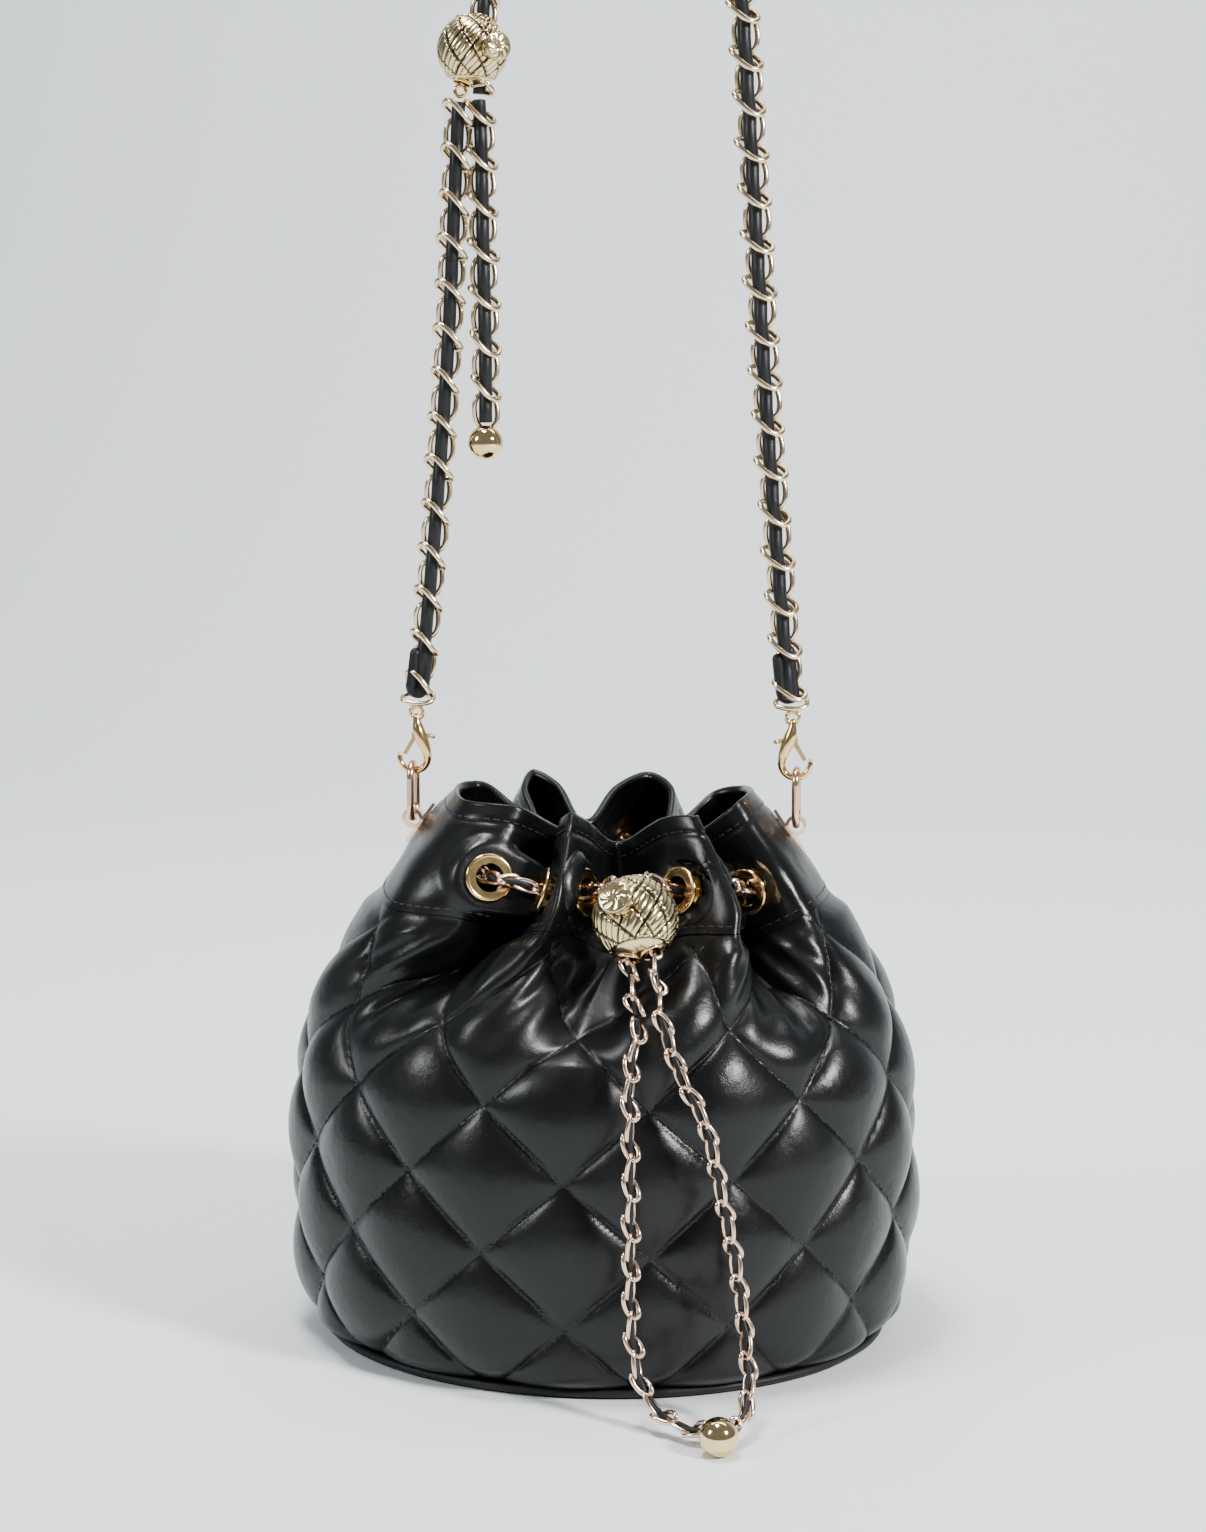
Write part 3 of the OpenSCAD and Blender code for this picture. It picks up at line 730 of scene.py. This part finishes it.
# [length, width, wire, twist, roll, tilt, how far behind the thong], mm and degrees
STRAP_UNIT = 13.5
STRAP_LINKS = ([12.2, 8.2, 1.75, 14, 24, 50, 0.0], [12.2, 8.6, 1.7, 14, 86, 4, 2.0])
STRAP_THONG = 4.1
CORD_UNIT = 11.2
CORD_LINKS = ([9.2, 4.9, 1.45, 55, 46, 30, 0.0], [8.8, 4.4, 1.35, 16, 4, -4, 0.0])
CORD_THONG = 1.9


def strand(name, path, body, node_name, unit_len, kinds, thong_d, material, seed, up, far_end, lay,
           wave, extra=()):
    """A chain with its thong, in place of the imported cord, which it hides."""
    line, _ = resample(path, 0.5)
    links = chain(name + "_links", line, body, unit_len / 2, kinds, material, seed, up)
    core, length = thong(name, line, body, thong_d, up, wave, unit_len)
    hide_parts(node_name)


def fold_back(name, line, body, end, reach, side):
    """The thong's end, turned back on itself beside the chain: a short U of the same leather."""
    p, _ = resample(line if end == 0 else line[::-1], 0.5)
    _, n, b = curve_frames(p, FRONT)
    i0, i1 = 5, int(reach / 0.5)
    right = b if b[i0][0] > 0 else -b
    a = [p[i] - 0.2 * n[i] + 1.3 * right[i] for i in range(i1, i0, -3)]
    c = [p[i] + 0.8 * n[i] + side * 2.5 * right[i] for i in range(i0, i1 - 3, 3)]
    turn = [p[2] + 0.6 * right[2], p[2] + side * 1.6 * right[2]]
    path_pts = smooth_path(a + turn + c, 4)
    return taper_tube(name, path_pts, np.full(len(path_pts), 1.75), THONG, body, 1.0, (0, 1, 0.02), 12)


def end_link(name, line, body, end):
    """The wide link round the thong's fold, which the clasp's eye holds."""
    p = np.asarray(line if end == 0 else line[::-1], float)
    shape, quad = link_template(11.2, 7.6, 1.6, 0.2)
    along = unit([1, 0.15, 0.06])
    across = unit(np.cross(along, [0, 0.55, -0.83]))
    v = shape[:, :1] * across + shape[:, 1:2] * np.cross(along, across) + shape[:, 2:] * along
    v = v + p[0] + np.array([0, -0.4, -0.6])
    return link_mesh(name, v * MM, quad, PALE, body)


end_links = [end_link("long_end_link", long_path, "strap", 1),
             end_link("short_end_link", short_path, "strap", 0)]
folds = [fold_back("long_fold", long_path, "strap", 1, 15, -1),
         fold_back("short_fold", short_path, "strap", 0, 15, -1)]
STRAP_LOOK = (STRAP_UNIT, STRAP_LINKS, STRAP_THONG, PALE)
CORD_LOOK = (CORD_UNIT, CORD_LINKS, CORD_THONG, WARM)
strand("strap_long", long_path, "strap", "strap_long_strand", *STRAP_LOOK, 5, FRONT,
       "object", "taut", wave=0.5, extra=[folds[0], end_links[0]])
strand("strap_short", short_path, "strap", "strap_short_strand", *STRAP_LOOK, 6, FRONT,
       "object", "taut", wave=0.5, extra=[folds[1], end_links[1]])
strand("strap_tail_cord", tail_path, "tail", "strap_tail", *STRAP_LOOK, 7, FRONT,
       "fitting", "hanging", wave=0.5, extra=[NODES["tail_end_ball"]])
strand("drawstring_top", soften(collar_path, 2), "bag", "drawstring_collar", *CORD_LOOK, 8,
       (0, -0.8, 0.6), "object", "taut", wave=0.4)
strand("drawstring_low", smooth_path(loop_path, 6), "drawstring_lower", "drawstring_loop", *CORD_LOOK, 9,
       (0, -1, 0.2), "object", "hanging", wave=0.4, extra=[NODES["drawstring_end_ball"]])


# ------------------------------------------------------------------- clasps
CLASP_LEAN = math.radians(4)
SIDE_X = 59.4
HOOK_Z = 171.45
CLASP_LINE = [[0, 17.2, 1.0], [0.3, 15.4, 1.35], [0.9, 13.2, 1.9], [1.9, 10.8, 2.05], [3.1, 8.3, 1.8],
              [4.0, 6.0, 1.45], [4.3, 3.9, 1.2], [3.5, 1.8, 1.1], [1.9, 0.5, 1.05], [0, 0.05, 1.05],
              [-1.9, 0.5, 1.0], [-3.4, 1.7, 0.95], [-4.3, 3.3, 0.9], [-4.4, 4.8, 0.8]]


def clasp_point(side, u, v):
    x = u * math.cos(CLASP_LEAN) + v * math.sin(CLASP_LEAN) - SIDE_X
    return [-side * x, 0, -u * math.sin(CLASP_LEAN) + v * math.cos(CLASP_LEAN) + HOOK_Z]


for side, side_name in ((-1, "left"), (1, "right")):
    line = smooth_path(CLASP_LINE, 6)
    pts = [clasp_point(side, u, v) for u, v, _ in line]
    hook = taper_tube(f"clasp_{side_name}_hook", pts, line[:, 2], YELLOW, "clasps", 1.2)
    eye = [clasp_point(side, 1.9 * math.cos(q), 18.4 + 1.9 * math.sin(q))
           for q in np.linspace(0, math.tau, 32, endpoint=False)]
    closed_tube(f"clasp_{side_name}_eye", eye, 0.7, YELLOW, "clasps")
    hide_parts(f"clasp_{side_name}")


# ------------------------------------------------------------- engraved balls
def lock_ball(name, node_name, body, at, zax, yax, k):
    """A ball with an engraved lattice with painted shade in its grooves, a plain lower cap and two holes
    for the strands.
    """
    x_ax = unit(np.cross(yax, zax))
    y_ax = np.cross(zax, x_ax)
    rows, cols = 120, 220
    th = np.linspace(0.012, math.pi - 0.012, rows)[:, None]
    ph = (np.arange(cols) * math.tau / cols)[None, :]
    w = np.log(np.tan(th / 2))
    a = np.abs(np.sin(4.5 * ph + 3.2 * w))
    b = np.abs(np.sin(4.5 * ph - 3.2 * w))
    groove = np.maximum(1 - smoothstep(0.10, 0.30, a), 1 - smoothstep(0.10, 0.30, b))
    fine = smoothstep(0.45, 0.95, np.cos(27 * ph + 19.2 * w)) * (1 - groove)
    cap = smoothstep(2.42, 2.46, th) * np.ones_like(ph)
    crown = (1 - smoothstep(0.30, 0.34, th)) * np.ones_like(ph)
    calm = np.maximum(cap, crown)
    ridge = np.exp(-(((th - 2.40) / 0.035) ** 2)) + np.exp(-(((th - 0.36) / 0.035) ** 2))
    trench = np.exp(-(((th - 2.45) / 0.028) ** 2)) + np.exp(-(((th - 0.31) / 0.028) ** 2))
    r = BALL_R * k + (-0.5 * groove - 0.22 * fine) * (1 - calm) + 0.3 * ridge - 0.1 * calm - 0.3 * trench
    pts = np.stack([r * np.sin(th) * np.cos(ph), r * np.sin(th) * np.sin(ph), r * np.cos(th) + 0 * ph], -1)
    hole = np.zeros(pts.shape[:2], bool)
    for sx in (-STRAND_X, STRAND_X):
        hole |= (np.hypot(pts[..., 0] - sx * k, pts[..., 1]) < STRAND_HOLE_R * k)
    hole |= (np.hypot(pts[..., 0], pts[..., 2]) < BUTTON_HOLE_R * k) & (pts[..., 1] < 0)
    flat = pts.reshape(-1, 3)
    hf = hole.reshape(-1)
    faces = [f for f in grid_faces(rows, cols, flip=True) if not hf[list(f)].any()]
    m = np.column_stack([x_ax, y_ax, zax])
    world = flat @ m.T + at
    ob = link_mesh(name, world * MM, faces, LOCK, body)
    # painted shade for the lock gold: full in the engraved grooves and trenches, weaker on the fine lines
    groove_shade_attr = ob.data.color_attributes.new("groove", "FLOAT_COLOR", "POINT")
    g = np.clip((groove + 0.75 * fine) * (1 - calm) + 0.9 * trench, 0, 1).reshape(-1)
    groove_shade_attr.data.foreach_set("color", np.column_stack([g, g, g, np.ones_like(g)]).astype(np.float32).ravel())
    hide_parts(node_name)
    parts = []
    for sgn in (-1, 1):
        for sx in (-STRAND_X, STRAND_X):
            ring = np.array([[sx * k + 3.15 * k * math.cos(q), 3.15 * k * math.sin(q), 0]
                             for q in np.linspace(0, math.tau, 40, endpoint=False)])
            ring[:, 2] = sgn * np.sqrt((BALL_R * k) ** 2 - ring[:, 0] ** 2 - ring[:, 1] ** 2)
            parts.append(ring @ m.T + at)
    for j, ring in enumerate(parts):
        closed_tube(f"{name}_rim_{j}", ring, 0.42 * k, BALL, body)
    tube_v, tube_f = [], []
    for sx in (-STRAND_X, STRAND_X):
        k0 = len(tube_v)
        for zz in np.linspace(-11.2 * k, 11.2 * k, 6):
            for q in np.linspace(0, math.tau, 32, endpoint=False):
                tube_v.append(np.array([sx * k + 3.0 * k * math.cos(q), 3.0 * k * math.sin(q), zz]))
        tube_f += [tuple(k0 + i for i in f) for f in grid_faces(6, 32)]
    link_mesh(name + "_bores", (np.array(tube_v) @ m.T + at) * MM, tube_f, LOCK, body)


def button_top(name, body, at, zax, yax, k):
    """The push button's engraved face."""
    x_ax = unit(np.cross(yax, zax))
    y_ax = np.cross(zax, x_ax)
    rows, cols = 24, 96
    rr = np.linspace(0.02, 1.0, rows)[:, None]
    ph = (np.arange(cols) * math.tau / cols)[None, :]
    dome = 0.55 * (1 - rr**2)
    petals = 0.22 * np.abs(np.cos(4 * ph + 3.0 * rr)) * smoothstep(0.15, 0.4, rr)
    petals = petals * (1 - smoothstep(0.78, 0.84, rr))
    rim = 0.22 * np.exp(-(((rr - 0.9) / 0.07) ** 2)) * np.ones_like(ph)
    h = dome + petals + rim - 0.5 * smoothstep(0.97, 1.0, rr)
    x = 4.9 * rr * np.cos(ph)
    y = 4.9 * rr * np.sin(ph)
    pts = np.stack([x, -(17.85 + h), y], -1).reshape(-1, 3) * k
    m = np.column_stack([x_ax, y_ax, zax])
    link_mesh(name, (pts @ m.T + at) * MM, grid_faces(rows, cols, flip=True), LOCK, body)


lock_ball("lock_ball", "cord_lock_body", "cord_lock", LOCK_AT, -LOCK_DOWN, LOCK_Y, 1.0)
button_top("lock_button_face", "cord_lock_push", LOCK_AT, -LOCK_DOWN, LOCK_Y, 1.0)
lock_ball("adjuster_ball", "adjuster_body", "strap", ADJUSTER_AT, ADJUSTER_UP, ADJUSTER_Y, ADJUSTER_SCALE)
button_top("adjuster_button_face", "adjuster_push", ADJUSTER_AT, ADJUSTER_UP, ADJUSTER_Y, ADJUSTER_SCALE)

# ------------------------------------------------------- materials of the frame
for names, mat in (
    (["base_panel"], BASE), (["base_board"], CARD), (["lining"], LINING),
    ([f"eyelet_{k}" for k in range(1, 13)] + ["eyelet_washers"], YELLOW),
    (["bridge_left", "bridge_right", "bridge_rivets", "ring_left", "ring_right"], ROSE),
    (["clasp_left_lever", "clasp_right_lever", "clasp_left_pin", "clasp_right_pin", "adjuster_eye"],
     YELLOW),
    (["clasp_left_spring", "clasp_right_spring", "cord_lock_spring", "adjuster_spring"], STEEL),
    (["tail_end_ball", "drawstring_end_ball"], BALL),
    (["cord_lock_button", "adjuster_button"], LOCK),
):
    for n in names:
        NODES[n].data.materials.clear()
        NODES[n].data.materials.append(mat)
for n in ("clasp_left_lever", "clasp_right_lever", "bridge_left", "bridge_right"):
    bev = NODES[n].modifiers.new("rounded", "BEVEL")
    bev.width = 0.0006
    bev.segments = 4
    bev.limit_method = "ANGLE"
    bev.angle_limit = math.radians(50)

# --------------------------------------------------------------------- stage
stage_mat, nt, p = new_material("backdrop")
p.inputs["Base Color"].default_value = (0.79, 0.83, 0.845, 1)
p.inputs["Roughness"].default_value = 0.85
nt.links.new(bump(nt, noise(nt, coords(nt), 60, 4, 0.6), 0.08, 0.002), p.inputs["Normal"])
prof = [(-1.6, 0.0), (1.1, 0.0)]
prof += [(1.1 + 1.2 * math.sin(a), 1.2 - 1.2 * math.cos(a)) for a in np.linspace(0.1, math.pi / 2, 16)]
prof += [(2.3, 4.0)]
verts = [(x, y, z) for y, z in prof for x in (-4.0, 4.0)]
faces = [(2 * i, 2 * i + 1, 2 * i + 3, 2 * i + 2) for i in range(len(prof) - 1)]
sweep = link_mesh("backdrop", verts, faces, stage_mat)


def area_light(name, at, target, size, power, color):
    data = bpy.data.lights.new(name, "AREA")
    data.shape = "RECTANGLE"
    data.size, data.size_y = size
    data.energy = power
    data.color = color
    ob = bpy.data.objects.new(name, data)
    ob.location = at
    ob.rotation_euler = (Vector(target) - Vector(at)).to_track_quat("-Z", "Y").to_euler()
    bpy.context.scene.collection.objects.link(ob)


area_light("key", (1.45, -0.85, 1.15), (0, 0, 0.1), (0.28, 0.28), 62, (1.0, 0.98, 0.95))
area_light("fill_left", (-1.25, -0.8, 0.95), (0, 0, 0.1), (0.28, 0.45), 14, (0.95, 0.98, 1.0))
area_light("top", (-0.2, -0.15, 1.7), (0, 0, 0.1), (0.42, 0.32), 26, (1, 1, 1))
area_light("backdrop_light", (0, 0.5, 1.7), (0, 2.1, 0.5), (2.0, 0.7), 42, (0.97, 1.0, 1.0))
world = bpy.data.worlds.new("studio")
bpy.context.scene.world = world
world.use_nodes = True
bg = world.node_tree.nodes["Background"]
bg.inputs["Color"].default_value = (0.88, 0.93, 0.96, 1)
bg.inputs["Strength"].default_value = 0.24
